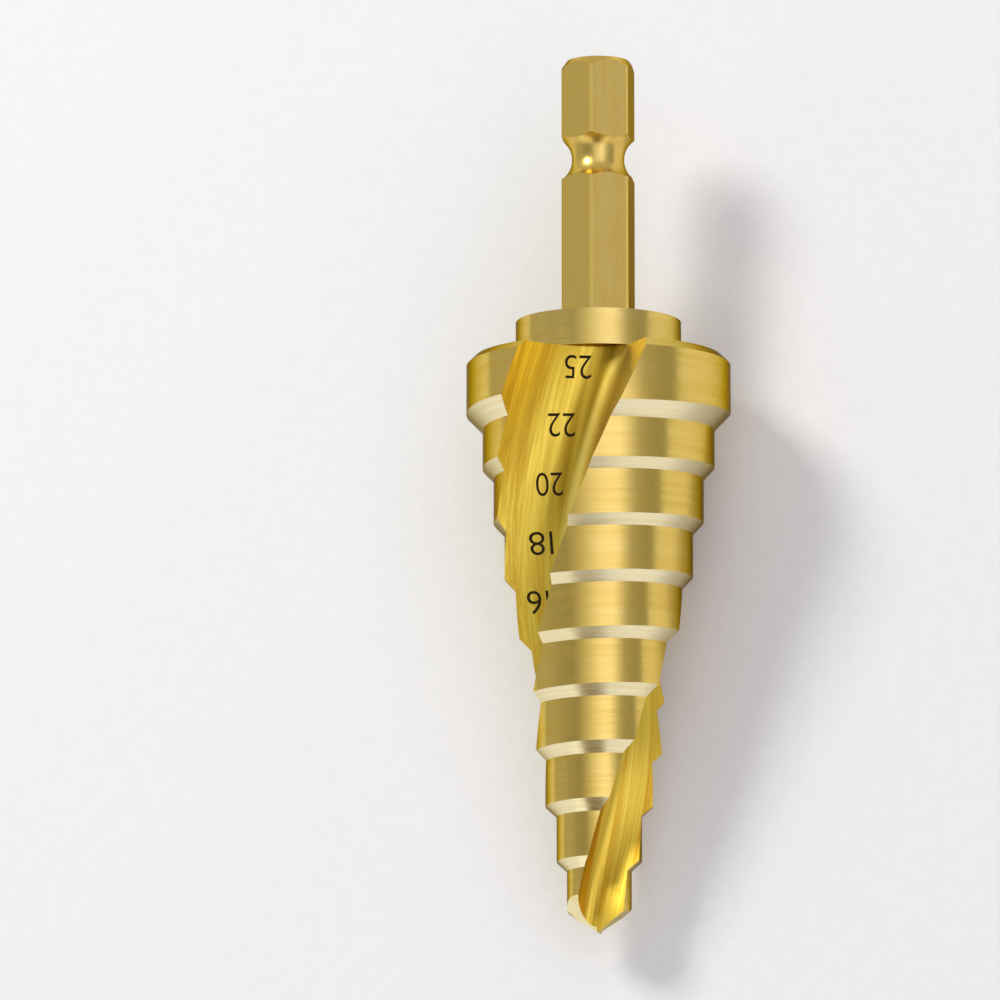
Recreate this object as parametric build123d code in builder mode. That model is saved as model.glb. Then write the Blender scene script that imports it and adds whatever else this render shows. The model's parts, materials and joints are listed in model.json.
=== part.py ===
"""A two-flute step drill: ten ground steps, a relieved split point, a collar and a hexagonal shank.

The drill is one piece. It is made upright in its tool frame, with the point at the origin and the shank
up the Z axis, and is then laid down as it comes to rest on a table, with its point towards -Y.
Lengths are in millimetres and angles in degrees.
"""

from build123d import *
import os
from math import acos, asin, atan, cos, degrees, hypot, radians, sin, tan
from scipy.spatial import ConvexHull

# Steps, from the pilot to the largest hole that the drill cuts
step_diameters = [6, 8, 10, 12, 14, 16, 18, 20, 22, 25]
pilot_length = 6.8  # tip to the rim of the second step
step_pitch = 5.25  # one rim to the next
last_land_length = 4.5  # cylinder of the largest step
lead_half_angle = 45.0  # cutting cone under each rim, from the axis
shoulder_chamfer = 0.85  # top edge of the largest step

# Collar and shank
collar_diameter = 15.5
collar_length = 3.4
hex_across_flats = 6.35
hex_across_corners = 7.15  # corners turned off a little
shank_length = 25.0  # collar to the free end
shank_chamfer = 0.9
groove_from_end = 9.4  # free end to the middle of the ball groove
groove_diameter = 4.9
groove_radius = 2.4

# Flutes
flute_count = 2
web_at_point = 1.0  # thickness of metal between the two cutting faces
floor_at_point = -0.95  # corner of the flute from the axis, measured along the lip
floor_rise = 0.136  # rise of the corner for each millimetre up the drill
floor_lean = 9.0  # floor from the square to the cutting face
floor_hollow = 0.18  # depth of the hollow between corner and heel, as a share of its width
root_radius_at_point = 1.2
root_radius_at_end = 3.2
lead_at_point = 98.0  # rise in one whole turn, at the point
lead_at_end = 177.0
flute_overrun = 0.9  # the cutter runs this far past the steps
heel_clearance = 0.5  # width of the floor past the envelope of the steps
flute_stations = 16

# Relief behind the cutting edges
step_relief = 3.75  # lean of each step, down at its cutting edge and up at its heel
land_shift = 0.12  # sideways shift of each land, which eases its heel off the hole
point_angle = 118.0
flank_reliefs = [12.0, 36.0]  # first and second flank behind each lip
flank_widths = [0.0, 1.1]  # where each flank starts, behind the line through the two lips' middle
gash_lean = 44.0  # root of the notch that splits the point, from the axis
gash_heading = 15.0
gash_angle = 105.0
gash_offset = 0.07  # half of the chisel edge that is left

radii = [diameter / 2 for diameter in step_diameters]
point_height = radii[0] / tan(radians(point_angle / 2))
rims = [point_height] + [pilot_length + step_pitch * i for i in range(len(radii) - 1)]
shoulder = rims[-1] + last_land_length + shoulder_chamfer
flute_end = shoulder + flute_overrun
collar_top = shoulder + collar_length
shank_end = collar_top + shank_length
half_web = web_at_point / 2
outside = radii[-1] + 6  # cutters stand this far out
body_taper = (radii[-1] - radii[0]) / (rims[-1] - rims[0])


def flute_turn(z):
    """Turn of the flutes at a height, for a lead that grows from the point to the end."""
    quick = 360 / lead_at_point
    slow = 360 / lead_at_end
    return quick * z + (slow - quick) * z**2 / (2 * flute_end)


def flute_floor(z):
    """Distance of the corner of the flute from the axis, at a height."""
    return floor_at_point + floor_rise * z


def land_span(radius, z):
    """Direction of the middle of the first land, and half of its width as an angle."""
    lip = -degrees(asin(half_web / radius))
    heel = 180 - degrees(acos(flute_floor(z) / radius + tan(radians(floor_lean))))
    return flute_turn(z) + (lip + heel) / 2, (heel - lip) / 2


# Steps above the pilot, a half for each land, leaned so that the rim falls away behind the cutting edge
half_steps = []
for i in range(1, len(radii)):
    radius = radii[i]
    top = shoulder if i == len(radii) - 1 else rims[i + 1] + 0.4 * step_pitch
    middle, half_width = land_span(radius, rims[i])
    slope = 1 / tan(radians(lead_half_angle))
    start_radius = 0.6 * radii[i - 1]
    start = (start_radius - radius) * slope
    cone_height = (2 * radius - start_radius) * slope
    edge_side = radius * sin(radians(half_width))
    land_radius = hypot(radius * cos(radians(half_width)), edge_side - land_shift)
    for turn in range(flute_count):
        facing = middle + 360 / flute_count * turn
        land_plane = Plane.XY.offset(rims[i]).rotated((0, 0, facing))
        with BuildPart(Plane.XY.offset(rims[i]).rotated((step_relief, 0, facing), Extrinsic.XYZ)) as half_step:
            with Locations((0, 0, start)):
                Cone(start_radius, 2 * radius, cone_height, align=(Align.CENTER, Align.CENTER, Align.MIN))
            with Locations((0, 0, start + cone_height)):
                Cylinder(2 * radius, outside, align=(Align.CENTER, Align.CENTER, Align.MIN))
            with BuildSketch(land_plane.offset(-radius)):
                with Locations((0, -land_shift)):
                    Circle(land_radius)
                with Locations((-0.2 * radius, 0)):
                    Rectangle(2 * radius, 4 * radius, align=(Align.MIN, Align.CENTER), mode=Mode.INTERSECT)
            extrude(amount=top - rims[i] + radius, mode=Mode.INTERSECT)
        half_steps.append(half_step.part)

# Helical cutter for one flute: a flat cutting face, a rounded corner and a hollow floor out past the heel
with BuildPart() as flute_cutter:
    for i in range(flute_stations + 1):
        z = -1 + (flute_end + 1) * i / flute_stations
        station = Plane.XY.offset(z).rotated((0, 0, flute_turn(z)))
        corner = Vector(flute_floor(z), -half_web)
        width = radii[0] + body_taper * (z - rims[0]) + heel_clearance - half_web
        floor = Vector(0, -width).rotate(Axis.Z, floor_lean)
        inward = Vector(-1, 0).rotate(Axis.Z, floor_lean) * floor_hollow * width
        heel = corner + floor
        flare = Vector(0, -1).rotate(Axis.Z, floor_lean + 2 * degrees(atan(2 * floor_hollow)))
        beyond = heel + flare * outside
        root = root_radius_at_point + (root_radius_at_end - root_radius_at_point) * z / flute_end
        with BuildSketch(station):
            with BuildLine():
                Line((2 * outside, -half_web), corner)
                ThreePointArc(corner, corner + floor / 2 + inward, heel)
                Line(heel, beyond)
                Line(beyond, (2 * outside, beyond.Y))
                Line((2 * outside, beyond.Y), (2 * outside, -half_web))
            make_face()
            fillet(vertices().sort_by_distance(station.from_local_coords(corner))[0], root)
    loft()

# Hexagonal shank with a turned end and a ball groove
with BuildPart() as shank:
    with BuildSketch(Plane.XY.offset(collar_top - 1)):
        RegularPolygon(hex_across_flats / 2, 6, major_radius=False)
    extrude(amount=shank_length + 1)
    with BuildSketch(Plane.XZ):
        with BuildLine():
            Polyline(
                (0, collar_top - 1),
                (hex_across_corners / 2, collar_top - 1),
                (hex_across_corners / 2, shank_end - shank_chamfer),
                (hex_across_corners / 2 - shank_chamfer * tan(radians(35)), shank_end),
                (0, shank_end),
                close=True,
            )
        make_face()
        with Locations((groove_diameter / 2 + groove_radius, shank_end - groove_from_end)):
            Circle(groove_radius, mode=Mode.SUBTRACT)
    revolve(axis=Axis.Z, mode=Mode.INTERSECT)

with BuildPart() as drill:
    # Pilot
    with BuildSketch():
        Circle(radii[0])
    extrude(amount=rims[1] + 0.4 * step_pitch)
    for half in half_steps:
        add(half)
    # Chamfer round the top of the largest step
    with BuildSketch(Plane.XZ):
        with BuildLine():
            Polyline(
                (radii[-1] - shoulder_chamfer, shoulder),
                (radii[-1] + 1, shoulder - shoulder_chamfer - 1),
                (radii[-1] + 1, shoulder + 1),
                (radii[-1] - shoulder_chamfer, shoulder + 1),
                close=True,
            )
        make_face()
    revolve(axis=Axis.Z, mode=Mode.SUBTRACT)
    with PolarLocations(0, flute_count):
        add(flute_cutter.part, mode=Mode.SUBTRACT)
    # Collar, whose underside shows past the ends of the flutes
    with BuildSketch(Plane.XY.offset(shoulder)):
        Circle(collar_diameter / 2)
    extrude(amount=collar_length)
    add(shank.part)
    for turn in range(flute_count):
        side = 1 - 2 * turn
        # Flanks behind the lip
        height = 0
        for k, (relief, width) in enumerate(zip(flank_reliefs, flank_widths)):
            height += (width - flank_widths[k - 1]) * tan(radians(flank_reliefs[k - 1])) if k else 0
            uphill = (-side / tan(radians(point_angle / 2)), -side * tan(radians(relief)), 1)
            split(bisect_by=Plane(origin=(0, side * width, height), z_dir=uphill), keep=Keep.TOP)
        # Notch that carries the lip in to the middle
        notch = Plane.XY.rotated((gash_lean, 0, gash_heading + 180 * turn), Extrinsic.XYZ)
        with BuildSketch(notch):
            with Locations((-gash_offset, 0)):
                with BuildLine():
                    wall = 3 * radii[0]
                    Polyline(
                        (0, 0),
                        (0, -wall),
                        (-wall * sin(radians(gash_angle)), -wall * cos(radians(gash_angle))),
                        close=True,
                    )
                make_face()
        extrude(amount=wall, mode=Mode.SUBTRACT)

# The pose in which the drill lies. Any three points of its outline carry it on a table if its weight falls
# between them. It settles on the firmest three of those that let it down nearly as low as it can go.
outline = [edge.position_at(t / 24) for edge in drill.part.edges() for t in range(25)]
balance = drill.part.center(CenterOf.MASS)
hull = ConvexHull([tuple(point) for point in outline])
poses = []
for corners, equation in zip(hull.simplices, hull.equations):
    feet = [outline[k] for k in corners]
    down = Vector(*equation[:3])
    height = -equation[3] - balance.dot(down)
    foot = balance + down * height
    sides = [feet[k] - feet[k - 1] for k in range(3)]
    insets = [side.cross(foot - feet[k - 1]).dot(down) / side.length for k, side in enumerate(sides)]
    if min(insets) > 0 or max(insets) < 0:
        poses.append((height, min(map(abs, insets)), down, feet[0]))
lowest = min(pose[0] for pose in poses)
low_poses = [pose for pose in poses if pose[0] < lowest + 0.05]
height, firmness, down, foot = max(low_poses, key=lambda pose: (round(pose[1], 2), -pose[2].Y))
along = Vector(0, 0, 1) - down * down.Z
table = Plane(origin=foot, x_dir=down.cross(along), z_dir=-down)
lying = table.to_local_coords(drill.part)
middle = lying.bounding_box().center()
with BuildPart() as step_drill:
    with Locations((-middle.X, -middle.Y, 0)):
        add(lying)

step_drill.part.label = "step_drill"
os.makedirs("parts", exist_ok=True)
export_step(step_drill.part, "parts/step_drill.step")
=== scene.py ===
# %% [markdown]
# # A coated step drill
# A step drill is one piece of high-speed steel, turned to a stack of steps, fluted, ground and then
# coated with titanium nitride, which gives the gold colour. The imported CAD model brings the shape.
# This lesson gives it a smooth skin, a finish for each way its surfaces were ground, and its marks.

# %% Load the frame
import json
import math

import bmesh
import bpy
from mathutils import Matrix, Vector
from mathutils.bvhtree import BVHTree


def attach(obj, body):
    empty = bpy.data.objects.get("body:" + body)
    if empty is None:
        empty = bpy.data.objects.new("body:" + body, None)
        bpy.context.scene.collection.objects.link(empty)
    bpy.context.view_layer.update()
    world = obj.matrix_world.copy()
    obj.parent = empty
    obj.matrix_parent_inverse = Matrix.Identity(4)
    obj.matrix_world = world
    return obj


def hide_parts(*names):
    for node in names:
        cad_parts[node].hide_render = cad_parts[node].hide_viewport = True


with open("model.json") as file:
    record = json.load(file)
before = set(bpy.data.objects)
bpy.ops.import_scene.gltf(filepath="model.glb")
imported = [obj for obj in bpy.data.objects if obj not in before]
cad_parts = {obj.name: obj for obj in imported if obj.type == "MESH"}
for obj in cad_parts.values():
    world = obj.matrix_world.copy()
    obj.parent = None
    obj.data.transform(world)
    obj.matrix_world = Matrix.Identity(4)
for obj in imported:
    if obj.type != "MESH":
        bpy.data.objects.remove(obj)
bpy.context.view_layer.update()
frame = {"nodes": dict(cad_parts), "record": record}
MM = 0.001

# %% [markdown]
# The drill lies on its rims, tilted a little, so every pattern is worked out along its own axis.
# It could be turned upright to paint it, but a piece stays where the CAD put it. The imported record
# says where the end of the shank is and which way it faces, and the rest follows from the length
# of the tool. One of the three flats for the chuck's jaws says how the tool is turned.

# %% The axis of the tool
LENGTH = 82.55 * MM

mounts = {mount["name"]: mount for mount in frame["record"]["mounts"]}
shank_end = mounts["shank_end"]
axis = Vector(shank_end["axis"]).normalized()
tip = Vector(shank_end["pos_m"]) - axis * LENGTH
jaw_side = Vector(mounts["jaw_flat_1"]["axis"])
jaw_side = (jaw_side - axis * jaw_side.dot(axis)).normalized()
print("axis", [round(v, 4) for v in axis], "tip, mm", [round(v / MM, 2) for v in tip])

# %% [markdown]
# The CAD mesh is loose triangles, which would show every facet. A copy of it has its doubles
# merged, so that light runs smoothly over the flutes, and the edges where two surfaces were ground
# at an angle stay sharp. The copy stands for the CAD solid and keeps its place.

# %% The smooth skin of the drill
WELD = 0.002 * MM
SHARP = math.radians(24)

source = frame["nodes"]["step_drill"]
skin = source.data.copy()
skin.name = "step_drill_ground"
drill = bpy.data.objects.new("step_drill_ground", skin)
bpy.context.scene.collection.objects.link(drill)
shape = bmesh.new()
shape.from_mesh(skin)
bmesh.ops.remove_doubles(shape, verts=shape.verts, dist=WELD)
bmesh.ops.dissolve_degenerate(shape, edges=shape.edges, dist=WELD)
bmesh.ops.recalc_face_normals(shape, faces=shape.faces)
for face in shape.faces:
    face.smooth = True
for edge in shape.edges:
    edge.smooth = len(edge.link_faces) == 2 and edge.calc_face_angle() < SHARP
shape.to_mesh(skin)
print("skin:", len(shape.verts), "points,", len(shape.faces), "faces, open edges",
      sum(len(e.link_faces) != 2 for e in shape.edges))
shape.free()

# %% [markdown]
# Every node of a material is added in the same way: a type, its settings, the values of its
# sockets, and the sockets that feed it. One helper does all of that, and one function turns the
# hex colours that people write into the linear values that Blender works in.

# %% Helpers for materials
def colour(code):
    """A hex colour as linear RGBA."""
    parts = [int(code[i : i + 2], 16) / 255 for i in (1, 3, 5)]
    return tuple(c / 12.92 if c <= 0.04045 else ((c + 0.055) / 1.055) ** 2.4 for c in parts) + (1.0,)


def node(tree, kind, settings=None, values=None, links=None):
    """Adds one node: settings are its properties, values its sockets' own, links what feeds them."""
    made = tree.nodes.new(kind)
    for key, value in (settings or {}).items():
        setattr(made, key, value)
    for key, value in (values or {}).items():
        made.inputs[key].default_value = value
    for key, source in (links or {}).items():
        tree.links.new(source, made.inputs[key])
    return made


print("the hex grey #808080 is", round(colour("#808080")[0], 3), "in linear light")

# %% [markdown]
# Every mark on the tool is ground by something that moves along it or round it. So a pattern is
# read in the tool's own place, with the tip at zero and the axis up. A Mapping node would do this
# for one turn, but subtracting the tip first and turning after is easier to follow.

# %% The tool's own place
def tool_place(tree):
    """Object coordinates moved so that the tip is at zero and the axis is up."""
    place = node(tree, "ShaderNodeTexCoord")
    turn = Matrix((jaw_side.cross(axis), jaw_side, axis)).to_euler()
    shift = node(tree, "ShaderNodeVectorMath", {"operation": "SUBTRACT"}, {1: tip},
                 {0: place.outputs["Object"]})
    return node(tree, "ShaderNodeVectorRotate", {"rotation_type": "EULER_XYZ"}, {"Rotation": turn},
                {"Vector": shift.outputs[0]}).outputs["Vector"]


print("the tool leans", round(math.degrees(math.asin(axis.z)), 2), "degrees out of level")

# %% [markdown]
# Lands, chamfers and the collar are ground or turned while the tool spins, which leaves rings. A
# ring pattern that only counts height would leave level faces bare, so the distance from the axis
# is added to the height. It counts a little more than the height does, so that a chamfer, which
# widens as it climbs, gets closer rings than a land.

# %% Rings round the tool
RING_CLIMB = 1.37


def ringed(tree, place):
    """The place with its height raised by its distance from the axis."""
    apart = node(tree, "ShaderNodeSeparateXYZ", {}, {}, {0: place})
    level = node(tree, "ShaderNodeVectorMath", {"operation": "MULTIPLY"}, {1: (1, 1, 0)}, {0: place})
    out = node(tree, "ShaderNodeVectorMath", {"operation": "LENGTH"}, {}, {0: level.outputs[0]})
    ring = node(tree, "ShaderNodeMath", {"operation": "MULTIPLY_ADD"}, {1: RING_CLIMB},
                {0: out.outputs["Value"], 2: apart.outputs["Z"]})
    return node(tree, "ShaderNodeCombineXYZ", {}, {},
                {0: apart.outputs["X"], 1: apart.outputs["Y"], 2: ring.outputs[0]}).outputs[0]


print("a chamfer's rings are", round((1 + RING_CLIMB) / math.sqrt(2), 2), "times as close")

# %% [markdown]
# A flute wheel leaves streaks that follow the flute round the tool. With the twist taken out of
# the place, a helix becomes a straight trough, and plain long streaks do. The lead grows from the
# point to the end of the flutes, so the twist at a height is the sum of it. The corner along the
# floor of a flute also moves sideways towards the shank, so each side's place is slid with it.

# %% The flutes untwisted
LEAD_AT_POINT = 98
LEAD_AT_END = 177
FLUTE_END = 55.05 * MM
CORNER_DRIFT = 0.136
QUICK = math.radians(360 / LEAD_AT_POINT) * 1000
SLOW = math.radians(360 / LEAD_AT_END) * 1000


def untwisted(tree, place):
    """The place with the twist of the flutes and the drift of their corners taken out."""
    up = node(tree, "ShaderNodeSeparateXYZ", {}, {}, {0: place}).outputs["Z"]
    growth = node(tree, "ShaderNodeMath", {"operation": "MULTIPLY_ADD"},
                  {1: (SLOW - QUICK) / (2 * FLUTE_END), 2: QUICK}, {0: up})
    twist = node(tree, "ShaderNodeMath", {"operation": "MULTIPLY"}, {}, {0: growth.outputs[0], 1: up})
    back = node(tree, "ShaderNodeMath", {"operation": "MULTIPLY"}, {1: -1.0}, {0: twist.outputs[0]})
    straight = node(tree, "ShaderNodeVectorRotate", {"rotation_type": "Z_AXIS"}, {},
                    {"Vector": place, "Angle": back.outputs[0]}).outputs["Vector"]
    local = node(tree, "ShaderNodeSeparateXYZ", {}, {}, {0: straight})
    which = node(tree, "ShaderNodeMath", {"operation": "SIGN"}, {}, {0: local.outputs["Y"]})
    drift = node(tree, "ShaderNodeMath", {"operation": "MULTIPLY"}, {},
                 {0: which.outputs[0], 1: up})
    return node(tree, "ShaderNodeVectorMath", {"operation": "MULTIPLY_ADD"},
                {1: (CORNER_DRIFT, 0, 0)}, {0: drift.outputs[0], 2: straight}).outputs[0]


turned = (QUICK + SLOW) / 2 * FLUTE_END
print("a flute turns", round(math.degrees(turned)), "degrees from the point to its end")

# %% [markdown]
# A grinding wheel's marks are fine lines, with wider bands where a grain of it was sharper. Noise
# stretched along the cut gives both: once at the size of the lines, and once six times as wide.
# Noise mostly stays near its middle, so a narrow range of it is spread from nothing to one.

# %% Lines and bands
WIDER = 6
NOISE_MIDDLE = {"From Min": 0.36, "From Max": 0.64}


def streaked(tree, place, grain):
    """Lines, bands and a blend of the two, for a grain in mm across, round and along the tool."""
    drawn = [1000 / size for size in grain]
    fine = node(tree, "ShaderNodeVectorMath", {"operation": "MULTIPLY"}, {1: drawn}, {0: place})
    lines = node(tree, "ShaderNodeTexNoise", {}, {"Scale": 1.0, "Detail": 3.0},
                 {"Vector": fine.outputs[0]})
    wide = node(tree, "ShaderNodeVectorMath", {"operation": "MULTIPLY"},
                {1: [value / WIDER for value in drawn]}, {0: place})
    bands = node(tree, "ShaderNodeTexNoise", {}, {"Scale": 1.0, "Detail": 1.0},
                 {"Vector": wide.outputs[0]})
    half = node(tree, "ShaderNodeMath", {"operation": "MULTIPLY"}, {1: 0.5},
                {0: bands.outputs["Fac"]})
    both = node(tree, "ShaderNodeMath", {"operation": "MULTIPLY_ADD"}, {1: 0.5},
                {0: lines.outputs["Fac"], 2: half.outputs[0]})
    blend = node(tree, "ShaderNodeMapRange", {}, NOISE_MIDDLE, {"Value": both.outputs[0]})
    return lines.outputs["Fac"], bands.outputs["Fac"], blend.outputs["Result"]


print("bands are", WIDER, "times as wide as lines")

# %% [markdown]
# The flute's colour has painted shade and a painted highlight in it. It is painted browner along
# the root, where shade falls in the flute's corner, and paler beside the cutting edge, where a bright
# highlight line runs. To say where that is, a place needs a few measures: its height, how far it is
# from the root's line and from the pale one, and how far across the flute it is. The flute widens
# with the tool, so the last is a share of its width.

# %% Measures across a flute
ROOT_AT = 7.3 * MM
ROOT_LEANS = -0.1
RAKE_SHIFT = 1.6 * MM
HALF_WIDTH = 3.0 * MM
HALF_WIDTH_GROWS = 0.19


def across_flute(tree, place):
    """The measures of a place in the untwisted flutes, in m or as a share."""
    local = node(tree, "ShaderNodeSeparateXYZ", {}, {}, {0: place})
    height = local.outputs["Z"]
    away = node(tree, "ShaderNodeMath", {"operation": "ABSOLUTE"}, {}, {0: local.outputs["Y"]})
    root_at = node(tree, "ShaderNodeMath", {"operation": "MULTIPLY_ADD"},
                   {1: ROOT_LEANS, 2: ROOT_AT}, {0: height})
    offset = node(tree, "ShaderNodeMath", {"operation": "SUBTRACT"}, {},
                  {0: away.outputs[0], 1: root_at.outputs[0]})
    past_root = node(tree, "ShaderNodeMath", {"operation": "ABSOLUTE"}, {}, {0: offset.outputs[0]})
    nearer = node(tree, "ShaderNodeMath", {"operation": "ADD"}, {1: RAKE_SHIFT},
                  {0: offset.outputs[0]})
    past_rake = node(tree, "ShaderNodeMath", {"operation": "ABSOLUTE"}, {}, {0: nearer.outputs[0]})
    reach = node(tree, "ShaderNodeMath", {"operation": "MULTIPLY_ADD"},
                 {1: HALF_WIDTH_GROWS, 2: HALF_WIDTH}, {0: height})
    share = node(tree, "ShaderNodeMath", {"operation": "DIVIDE"}, {},
                 {0: away.outputs[0], 1: reach.outputs[0]})
    return {"height": height, "share": share.outputs[0],
            "past_root": past_root.outputs[0], "past_rake": past_rake.outputs[0]}


root_at_end = ROOT_AT + ROOT_LEANS * FLUTE_END
print("the root's line moves from", round(ROOT_AT / MM, 1), "to", round(root_at_end / MM, 1), "mm")

# %% [markdown]
# A painted mask could carry the painted shade and highlight, but in the untwisted place each is
# only a soft stripe along the tool, times a fade along its length. The streaks of the wheel break
# the painted brown shade up, so that it reads as part of the ground surface.

# %% Painted shade and highlight in the flutes
STRIPE_CORE = 0.35
# The two root tones are painted shade in the flute's corner, and the rake tone is a painted highlight
# beside the cutting edge.
# For each tone: the measure it follows, where it is nothing, where it is full and how strong it
# is then, first across the flute and then along it. The root low down is a share of the flute's
# width. All the others are lengths.
FLUTE_PAINTED_LIGHT = {
    "upper_root_shade": (("past_root", 1.5 * MM, STRIPE_CORE * 1.5 * MM, 0.85),
                   ("height", 34 * MM, 42 * MM, 1.0)),
    "lower_root_shade": (("share", 0.62, 0.32, 1.0), ("height", 30 * MM, 16 * MM, 0.1)),
    "rake_highlight": (("past_rake", 1.0 * MM, STRIPE_CORE * 1.0 * MM, 0.5),
             ("height", 14 * MM, 34 * MM, 1.0)),
}
ROOT_STREAKS = {"From Min": 0.35, "From Max": 0.6, "To Min": 0.35}


def painted_flute_light(tree, place, bands):
    """How far a place in the flutes goes to the root's painted shade, and to the painted highlight."""
    measures = across_flute(tree, place)
    tones = {}
    for tone, steps in FLUTE_PAINTED_LIGHT.items():
        soft = [node(tree, "ShaderNodeMapRange", {"interpolation_type": "SMOOTHSTEP"},
                     {"From Min": start, "From Max": end, "To Max": top},
                     {"Value": measures[measure]}).outputs["Result"]
                for measure, start, end, top in steps]
        tones[tone] = node(tree, "ShaderNodeMath", {"operation": "MULTIPLY"}, {},
                           {0: soft[0], 1: soft[1]}).outputs[0]
    # The root's darker tone is painted shade.
    root = node(tree, "ShaderNodeMath", {"operation": "MAXIMUM"}, {},
                {0: tones["upper_root_shade"], 1: tones["lower_root_shade"]})
    streaks = node(tree, "ShaderNodeMapRange", {}, ROOT_STREAKS, {"Value": bands})
    root = node(tree, "ShaderNodeMath", {"operation": "MULTIPLY"}, {},
                {0: root.outputs[0], 1: streaks.outputs["Result"]})
    return root.outputs[0], tones["rake_highlight"]


# These tones are painted shade along the root and a painted highlight beside the cutting edge.
print("worn tones of a flute:", list(FLUTE_PAINTED_LIGHT))

# %% [markdown]
# These are the film's colours in a flute. The gold is a little warmer low down, near the point,
# and over it come the painted brown shade of the root and the pale painted highlight beside the
# cutting edge, each mixed over the one before it. A material for each tone would leave a seam where
# two meet, so they share one.

# %% The film in a flute
WARM_GOLD = "#DDA82C"
# The brown is painted shade along the flute's root, and the pale gold is a painted highlight beside
# the cutting edge.
ROOT_PAINTED_SHADE = "#A17C14"
EDGE_PAINTED_HIGHLIGHT = "#FFEC88"
WARM_FROM = 34 * MM
WARM_TO = 14 * MM


def flute_film(tree, place, light, dark, bands, blend):
    """The colour of the film in a flute, with the root's painted shade and a painted highlight."""
    height = node(tree, "ShaderNodeSeparateXYZ", {}, {}, {0: place})
    warmth = node(tree, "ShaderNodeMapRange", {"interpolation_type": "SMOOTHSTEP"},
                  {"From Min": WARM_FROM, "From Max": WARM_TO}, {"Value": height.outputs["Z"]})
    deep = node(tree, "ShaderNodeMix", {"data_type": "RGBA"},
                {6: colour(dark), 7: colour(WARM_GOLD)}, {0: warmth.outputs["Result"]})
    film = node(tree, "ShaderNodeMix", {"data_type": "RGBA"}, {7: colour(light)},
                {0: blend, 6: deep.outputs[2]})
    # The root's tone is painted shade, and the pale tone beside the cutting edge is a painted
    # highlight.
    root, rake_highlight = painted_flute_light(tree, place, bands)
    film = node(tree, "ShaderNodeMix", {"data_type": "RGBA"}, {7: colour(ROOT_PAINTED_SHADE)},
                {0: root, 6: film.outputs[2]})
    return node(tree, "ShaderNodeMix", {"data_type": "RGBA"}, {7: colour(EDGE_PAINTED_HIGHLIGHT)},
                {0: rake_highlight, 6: film.outputs[2]})


print("film tones in a flute:", WARM_GOLD, ROOT_PAINTED_SHADE, EDGE_PAINTED_HIGHLIGHT)

# %% [markdown]
# Titanium nitride is a thin hard film over steel, so the colour is the film's and the texture is
# the steel's. A second, clear layer would look like lacquer, so the film is the metal's own
# colour. The marks of the wheel are a slight relief and a slight change of gloss, and a dull
# specular tint keeps the rims from going white where they are seen edge on.

# %% Coated steel
EDGE_TINT = "#86785A"
WHEEL_DEPTH = 0.02 * MM
GLOSS_CHANGE = 0.04


def coated(name, light, dark, rough, grain, bump, flute=False):
    """A coated ground steel: grain is the size in mm of its marks across, round and along the tool."""
    material = bpy.data.materials.new(name)
    material.use_nodes = True
    tree = material.node_tree
    tree.nodes.clear()
    place = untwisted(tree, tool_place(tree)) if flute else ringed(tree, tool_place(tree))
    lines, bands, blend = streaked(tree, place, grain)
    if flute:
        film = flute_film(tree, place, light, dark, bands, blend)
    else:
        film = node(tree, "ShaderNodeMix", {"data_type": "RGBA"},
                    {6: colour(dark), 7: colour(light)}, {0: blend})
    relief = node(tree, "ShaderNodeBump", {}, {"Strength": bump, "Distance": WHEEL_DEPTH},
                  {"Height": lines})
    gloss = node(tree, "ShaderNodeMapRange", {},
                 {"To Min": rough + GLOSS_CHANGE, "To Max": rough - GLOSS_CHANGE}, {"Value": blend})
    metal = node(tree, "ShaderNodeBsdfPrincipled", {},
                 {"Metallic": 1.0, "Specular Tint": colour(EDGE_TINT)},
                 {"Base Color": film.outputs[2], "Normal": relief.outputs["Normal"],
                  "Roughness": gloss.outputs["Result"]})
    node(tree, "ShaderNodeOutputMaterial", {}, {}, {"Surface": metal.outputs[0]})
    return material


print("the wheel's marks are", round(WHEEL_DEPTH / MM, 3), "mm deep at most")

# %% [markdown]
# One coating covers the whole tool, and each way of grinding gives it another look, so there is a
# finish for each. One finish for all would lose the rings, the streaks and the bright chamfers.
# A real grind's lines are a few hundredths of a millimetre apart, too fine to show, so rings are
# drawn about a tenth apart and streaks a sixth.

# %% Finishes
RINGS = (6.0, 6.0, 0.1)
STREAKS = (0.16, 0.16, 12.0)
LIP_LINES = (0.12, 2.0, 2.0)
BAR_GRAIN = (0.3, 0.3, 4.0)
FINISHES = {
    # Ground round on a fine wheel: a satin gold with rings, which carries one long bright band.
    "land": coated("tin_coated_ground_land", "#EDCE70", "#E5C25E", 0.22, RINGS, 0.08),
    # Freshly ground at 45 degrees: the palest face of each step, with closer rings.
    "chamfer": coated("tin_coated_ground_chamfer", "#FFF4CC", "#F7E6B0", 0.22, RINGS, 0.12),
    # Ground lengthwise and rubbed by chips: a strong yellow, softer in gloss, with long streaks,
    # painted shade along the root and a painted highlight beside the cutting edge.
    "flute": coated("tin_coated_flute", "#FFE45C", "#DCB63C", 0.44, STREAKS, 0.25, flute=True),
    # The relieved faces behind the two lips of the point: pale and softly lined.
    "flank": coated("tin_coated_ground_flank", "#FFF6C4", "#FFEBA8", 0.36, LIP_LINES, 0.08),
    # Turned on a lathe, not ground: rings with a little less gloss than a land's.
    "collar": coated("tin_coated_turned_collar", "#EACD74", "#E0C163", 0.24, RINGS, 0.1),
    # Left as the bar was drawn: a faint grain along it.
    "shank": coated("tin_coated_shank", "#E9CA70", "#E0BD5E", 0.28, BAR_GRAIN, 0.08),
}
skin.materials.clear()
for material in FINISHES.values():
    skin.materials.append(material)
print("finishes:", [material.name for material in FINISHES.values()])

# %% [markdown]
# The drill is one solid, so it has no separate parts to give the finishes to. They could be
# picked by hand, face by face, but where a face is and which way it faces already say how it was
# ground: a land faces straight out at its step's radius, and a chamfer leans half way to the tip.

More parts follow.
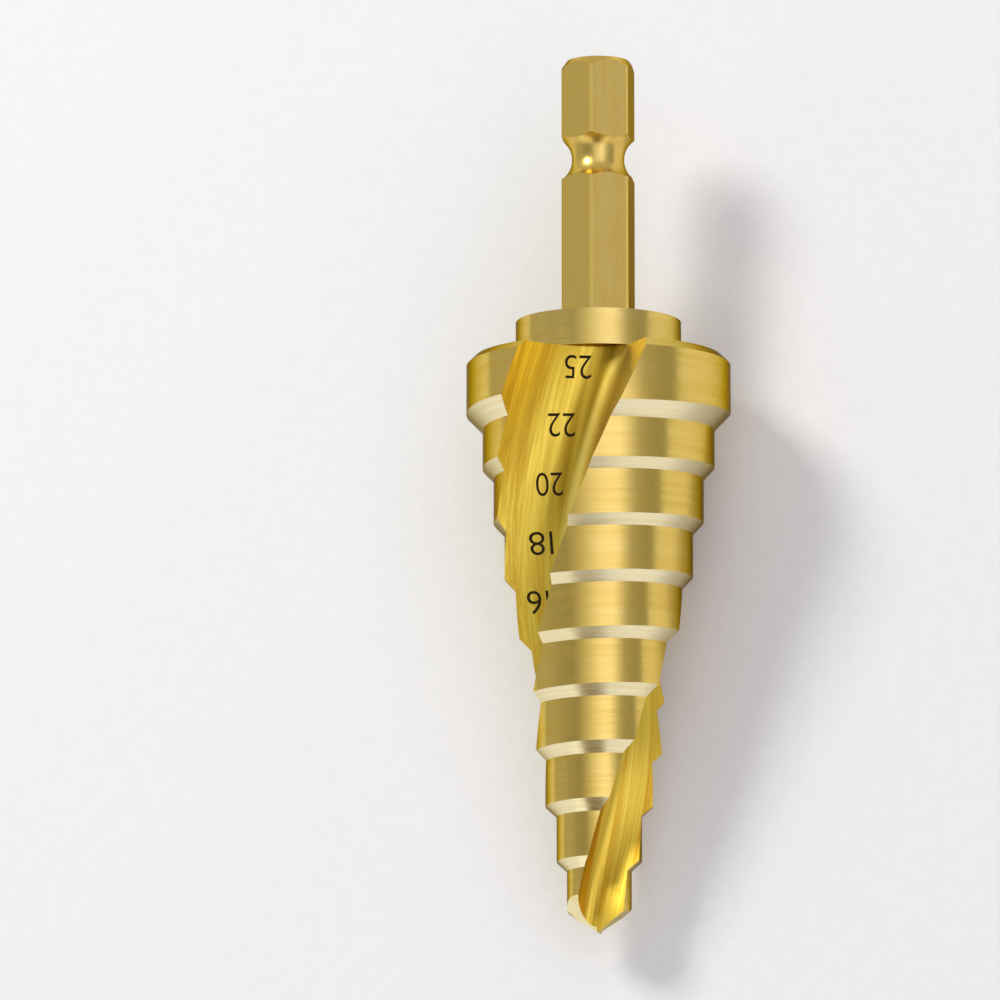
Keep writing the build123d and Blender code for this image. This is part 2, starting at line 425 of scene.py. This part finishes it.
# %% How each face was ground
RIMS = [1.80, 6.8, 12.05, 17.3, 22.55, 27.8, 33.05, 38.3, 43.55, 48.8]
DIAMETERS = [6, 8, 10, 12, 14, 16, 18, 20, 22, 25]
SHOULDER = 54.15
COLLAR_TOP = 57.55
CLOSE = 0.02
UNDERSIDE = 0.9
FLANK_TOP = 3.2
RIM_SLACK = 0.1
RELIEF_DEPTH = 0.7
ON_AXIS = 1e-7
FLANK_LEAN = -0.5
LAND_OUT, LAND_LEAN = 0.95, 0.12
CHAMFER_OUT, CHAMFER_LEAN, CHAMFER_SLACK = 0.6, -math.sqrt(0.5), 0.1
COLLAR_OUT, LEVEL_OUT, LEVEL_LEAN = 0.9, -0.2, 0.6


def ground_as(face):
    """The name of a face's finish. Heights are in mm, and a lean of -1 faces the tip."""
    up = (face.center - tip).dot(axis) / MM
    radial = face.center - tip - axis * up * MM
    out = radial.length / MM
    lean = face.normal.dot(axis)
    facing_out = face.normal.dot(radial.normalized()) if radial.length > ON_AXIS else 0
    step = max((i for i, rim in enumerate(RIMS) if up > rim - RIM_SLACK), default=0)
    if up > COLLAR_TOP - CLOSE:
        return "shank"
    if up > SHOULDER + CLOSE and facing_out > COLLAR_OUT:
        return "collar"
    if up < FLANK_TOP and lean < FLANK_LEAN:
        return "flank"
    near_rim = out > DIAMETERS[step] / 2 - RELIEF_DEPTH
    if near_rim and facing_out > LAND_OUT and abs(lean) < LAND_LEAN:
        return "land"
    if abs(lean - CHAMFER_LEAN) < CHAMFER_SLACK and facing_out > CHAMFER_OUT:
        return "chamfer"
    if up > SHOULDER - UNDERSIDE and abs(lean) > LEVEL_LEAN and facing_out > LEVEL_OUT:
        return "collar"
    return "flute"


order = list(FINISHES)
counts = dict.fromkeys(order, 0)
for face in skin.polygons:
    finish = ground_as(face)
    counts[finish] += 1
    face.material_index = order.index(finish)
print("faces of each finish:", counts)
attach(drill, "root")
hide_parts("step_drill")

# %% [markdown]
# Two plain surfaces are left: the burnt marks and the sheet under the tool. Neither is one flat
# tone on the real thing, so each wavers a little between two, over a size in millimetres.

# %% Matt surfaces
def matt(name, light, dark, grain, rough, specular):
    """A dull surface whose tone wavers a little, with grain the size of the waver in mm."""
    material = bpy.data.materials.new(name)
    material.use_nodes = True
    tree = material.node_tree
    tree.nodes.clear()
    place = node(tree, "ShaderNodeTexCoord").outputs["Object"]
    waver = node(tree, "ShaderNodeTexNoise", {}, {"Scale": 1000 / grain, "Detail": 3.0},
                 {"Vector": place})
    blend = node(tree, "ShaderNodeMapRange", {}, NOISE_MIDDLE, {"Value": waver.outputs["Fac"]})
    tone = node(tree, "ShaderNodeMix", {"data_type": "RGBA"},
                {6: colour(dark), 7: colour(light)}, {0: blend.outputs["Result"]})
    surface = node(tree, "ShaderNodeBsdfPrincipled", {},
                   {"Roughness": rough, "Specular IOR Level": specular},
                   {"Base Color": tone.outputs[2]})
    node(tree, "ShaderNodeOutputMaterial", {}, {}, {"Surface": surface.outputs[0]})
    return material


# A laser burns the film to a dark brown crust, which is dull, so the marks stay dark from any side.
burnt = matt("laser_burnt_tin", "#2C210D", "#1C1406", 0.12, 0.75, 0.15)
# Uncoated paper: nearly white, with a soft mottle and no gloss, so it only takes the tool's shadow.
paper = matt("white_paper", "#F1F1EC", "#EFEFEA", 1.5, 0.9, 0.0)
print("matt surfaces:", burnt.name, "and", paper.name)

# %% [markdown]
# The marks, the studio and the camera all need to know how the tool is looked at. Three more
# directions come from the one line from the tool to the camera: across the tool, up it as it is
# seen, and square to the axis on the side that faces the camera.

# %% The directions of the view
sight = Vector((0.33975, -0.27239, 0.90021)).normalized()
across = axis.cross(sight).normalized()
facing = across.cross(axis).normalized()
above = sight.cross(across).normalized()
print("the tool is seen", round(math.degrees(math.asin(-sight.dot(axis)))),
      "degrees from the tip's side of square")

# %% [markdown]
# A laser marks each step's diameter on the floor of one flute, where nothing rubs it off. The
# marks read with the tip up. They could be a pattern in the film's colour, but Blender draws
# letters well as text, so each number is text made into a flat mesh, with its strokes thinned a
# little, and with its digits set closer where the first is a 1.

# %% Flat numbers
MARK_HEIGHT = 2.2
CAPITALS = 0.72
THINNER = 0.02


def written(word, spacing):
    """A number as a flat mesh."""
    text = bpy.data.curves.new("text_" + word, "FONT")
    text.body = word
    text.size = MARK_HEIGHT / CAPITALS * MM
    text.offset = -THINNER * MM
    text.space_character = spacing
    holder = bpy.data.objects.new("holder_" + word, text)
    letters = bpy.data.meshes.new_from_object(holder)
    bpy.data.objects.remove(holder)
    letters.name = "mark_" + word
    return letters


print("a mark is", MARK_HEIGHT, "mm high")

# %% [markdown]
# A flat number has only a few large faces, which can't bend. So it is centred, brought to its
# size, and cut into a grid of small squares, fine enough to follow the hollow of the flute.

# %% A number cut fine
CUT_APART = 0.25
CUTS = 5


def cut_fine(letters, width):
    """A bmesh of a flat number, centred, width mm wide and cut into small faces."""
    shape = bmesh.new()
    shape.from_mesh(letters)
    bmesh.ops.triangulate(shape, faces=shape.faces)
    low = min(v.co.y for v in shape.verts)
    high = max(v.co.y for v in shape.verts)
    left = min(v.co.x for v in shape.verts)
    right = max(v.co.x for v in shape.verts)
    bmesh.ops.translate(shape, verts=shape.verts, vec=(-(left + right) / 2, -(low + high) / 2, 0))
    bmesh.ops.scale(shape, verts=shape.verts,
                    vec=(width * MM / (right - left), MARK_HEIGHT * MM / (high - low), 1))
    for cut in range(-CUTS, CUTS + 1):
        for normal in ((1, 0, 0), (0, 1, 0)):
            bmesh.ops.bisect_plane(shape, geom=shape.verts[:] + shape.edges[:] + shape.faces[:],
                                   plane_co=Vector(normal) * cut * CUT_APART * MM, plane_no=normal)
    return shape


print("cuts lie", CUT_APART, "mm apart")

# %% [markdown]
# Each number is then dropped on to the flute, square to it at the number's middle, and left a
# hundredth of a millimetre proud of it. Projecting it along the line of sight would be simpler,
# but it would stretch the digits on the slope, and a laser's head stands square to its work.

# %% The marks
# For each mark: its number, its middle across and above the tip as it is seen, its width, all in
# mm, and the spacing of its digits.
MARKS = [
    ("25", -1.94, 52.5, 2.55, 1.0),
    ("22", -3.48, 47.1, 2.55, 1.0),
    ("20", -4.59, 41.6, 2.55, 1.0),
    ("18", -5.35, 36.1, 2.25, 0.8),
    ("16", -5.6, 30.6, 2.2, 0.8),
]
SIGHT_START = 30 * MM
DROP_START = 1.5 * MM
PROUD = 0.012 * MM

ground = BVHTree.FromPolygons([v.co for v in skin.vertices], [p.vertices for p in skin.polygons])
for word, aside, height, width, spacing in MARKS:
    letters = written(word, spacing)
    shape = cut_fine(letters, width)
    start = tip + across * (aside * MM) + above * (height * MM) + sight * SIGHT_START
    centre, outward = ground.ray_cast(start, -sight)[:2]
    head = (-axis + outward * axis.dot(outward)).normalized()
    hand = head.cross(outward)
    for vert in shape.verts:
        start = centre + hand * vert.co.x + head * vert.co.y + outward * DROP_START
        hit, normal = ground.ray_cast(start, -outward)[:2]
        vert.co = hit + normal * PROUD
    shape.to_mesh(letters)
    shape.free()
    letters.materials.clear()
    letters.materials.append(burnt)
    mark = bpy.data.objects.new("mark_" + word, letters)
    bpy.context.scene.collection.objects.link(mark)
    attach(mark, "root")
    print("mark", word, "has", len(letters.polygons), "faces")

# %% [markdown]
# The floor is a plain pale sheet of paper, large enough to fill every view. A curved backdrop
# would hide the horizon, but from above there is none to hide.

# %% Floor
FLOOR_REACH = 3.0

sheet = bpy.data.meshes.new("floor")
shape = bmesh.new()
bmesh.ops.create_grid(shape, x_segments=1, y_segments=1, size=FLOOR_REACH)
shape.to_mesh(sheet)
shape.free()
floor = bpy.data.objects.new("floor", sheet)
bpy.context.scene.collection.objects.link(floor)
sheet.materials.append(paper)
print("the floor reaches", FLOOR_REACH, "m each way")

# %% [markdown]
# Polished metal shows the studio around it, so the studio is what lights it. Soft panels run
# along the tool, as a photographer sets them, so each step carries one clean bright band, and the
# brightest is slightly blue, as daylight is. Lamps could stand for the panels, but the world
# lights just as softly and leaves nothing to place. It is read by its angle round the tool.

# %% The panels of the studio
# Degrees round the tool from the side that faces the camera, and how bright the studio is there.
PANELS = [(-180, 0.2), (-125, 0.25), (-102, 0.5), (-84, 0.5), (-60, 0.34), (-38, 0.28),
          (-16, 0.72), (2, 1.15), (14, 1.28), (22, 1.28), (40, 0.46), (66, 0.33), (96, 0.2),
          (180, 0.2)]
DAYLIGHT = 0.3
# A colour in the band stays under 1, so the levels are halved there and doubled by the strength.
STRENGTH = 2.0

world = bpy.data.worlds.new("studio")
bpy.context.scene.world = world
world.use_nodes = True
tree = world.node_tree
tree.nodes.clear()
way = node(tree, "ShaderNodeTexCoord").outputs["Generated"]
side = node(tree, "ShaderNodeVectorMath", {"operation": "DOT_PRODUCT"}, {1: across}, {0: way})
front = node(tree, "ShaderNodeVectorMath", {"operation": "DOT_PRODUCT"}, {1: facing}, {0: way})
angle = node(tree, "ShaderNodeMath", {"operation": "ARCTAN2"}, {},
             {0: side.outputs["Value"], 1: front.outputs["Value"]})
round_tool = node(tree, "ShaderNodeMapRange", {}, {"From Min": -math.pi, "From Max": math.pi},
                  {"Value": angle.outputs[0]})
panels = node(tree, "ShaderNodeValToRGB", {}, {}, {"Fac": round_tool.outputs["Result"]})
band = panels.color_ramp
while len(band.elements) < len(PANELS):
    band.elements.new(0.5)
for element, (degrees, level) in zip(band.elements, PANELS):
    element.position = (degrees + 180) / 360
    blue = 1 + DAYLIGHT * (level > 1)
    element.color = (level / STRENGTH, level / STRENGTH, level / STRENGTH * blue, 1)
print("the studio has", len(PANELS), "stops round the tool")

# %% [markdown]
# The chamfers face the tip, so they mirror what stands beyond it. Two pale cards there make them
# bright, and a dark gap between the cards gives each chamfer a brown patch near its middle, which
# is what makes it read as polished metal and not as paint. The shank's end has one plain card.

# %% The cards at the two ends
PALE_CARD = (0.54, 0.53, 0.5, 1)
DARK_GAP = (0.08, 0.052, 0.014, 1)
FAR_CARD = (0.28, 0.275, 0.26, 1)
CARD_FROM = 0.5
CARD_FULL = 0.85
GAP_ASIDE = 0.04
GAP_EDGE = 0.28
GAP_FULL = 0.18

ends = node(tree, "ShaderNodeVectorMath", {"operation": "DOT_PRODUCT"}, {1: axis}, {0: way})
beyond_tip, beyond_shank = [
    node(tree, "ShaderNodeMapRange", {"interpolation_type": "SMOOTHSTEP"},
         {"From Min": end * CARD_FROM, "From Max": end * CARD_FULL}, {"Value": ends.outputs["Value"]})
    for end in (-1, 1)]
off_centre = node(tree, "ShaderNodeMath", {"operation": "ADD"}, {1: GAP_ASIDE},
                  {0: side.outputs["Value"]})
off_centre = node(tree, "ShaderNodeMath", {"operation": "ABSOLUTE"}, {}, {0: off_centre.outputs[0]})
gap = node(tree, "ShaderNodeMapRange", {"interpolation_type": "SMOOTHSTEP"},
           {"From Min": GAP_EDGE, "From Max": GAP_FULL}, {"Value": off_centre.outputs[0]})
tip_cards = node(tree, "ShaderNodeMix", {"data_type": "RGBA"}, {6: PALE_CARD, 7: DARK_GAP},
                 {0: gap.outputs["Result"]})
studio = node(tree, "ShaderNodeMix", {"data_type": "RGBA"}, {7: FAR_CARD},
              {0: beyond_shank.outputs["Result"], 6: panels.outputs["Color"]})
studio = node(tree, "ShaderNodeMix", {"data_type": "RGBA"}, {},
              {0: beyond_tip.outputs["Result"], 6: studio.outputs[2], 7: tip_cards.outputs[2]})
glow = node(tree, "ShaderNodeBackground", {}, {"Strength": STRENGTH}, {"Color": studio.outputs[2]})
node(tree, "ShaderNodeOutputWorld", {}, {}, {"Surface": glow.outputs[0]})
print("the gap beyond the tip is", round(2 * math.degrees(math.asin(GAP_EDGE))),
      "degrees wide at its soft edges")

# %% [markdown]
# One soft window lamp from above and beside adds the direction that a shadow needs. It is weak
# and large, so the shadow on the paper is faint and has a soft edge.

# %% The window
KEY_SIZE = 0.3
KEY_POWER = 5.0

key = bpy.data.lights.new("window_key", "AREA")
key.shape = "RECTANGLE"
key.size = KEY_SIZE
key.size_y = KEY_SIZE
key.energy = KEY_POWER
key_at = Vector((-0.45, 0.52, 0.74))
lamp = bpy.data.objects.new("window_key", key)
lamp.location = key_at
lamp.rotation_euler = (-key_at).to_track_quat("-Z", "Y").to_euler()
bpy.context.scene.collection.objects.link(lamp)
print("the window stands", round(key_at.length, 2), "m away")

# %% [markdown]
# The camera looks down at the tool from a little on the tip's side of square to the axis, so the
# rims are seen as flat curves and the chamfers show. It has a long lens, far away, because a
# short one close by would swell the steps near it.

# %% Camera
SENSOR = 36
VIEW_WIDTH = 92.6 * MM
DISTANCE = 0.9
MIDDLE_ASIDE = -9.21
MIDDLE_ABOVE = 40.13
NEAREST = 0.01

middle = tip + across * (MIDDLE_ASIDE * MM) + above * (MIDDLE_ABOVE * MM)
lens = bpy.data.cameras.new("camera")
lens.sensor_width = SENSOR
lens.lens = SENSOR * DISTANCE / VIEW_WIDTH
lens.clip_start = NEAREST
camera = bpy.data.objects.new("camera", lens)
camera.matrix_world = (Matrix.Translation(middle + sight * DISTANCE)
                       @ Matrix((across, above, sight)).transposed().to_4x4())
bpy.context.scene.collection.objects.link(camera)
bpy.context.scene.camera = camera
bpy.context.scene.view_settings.view_transform = "Standard"
print("the lens is", round(lens.lens), "mm long")
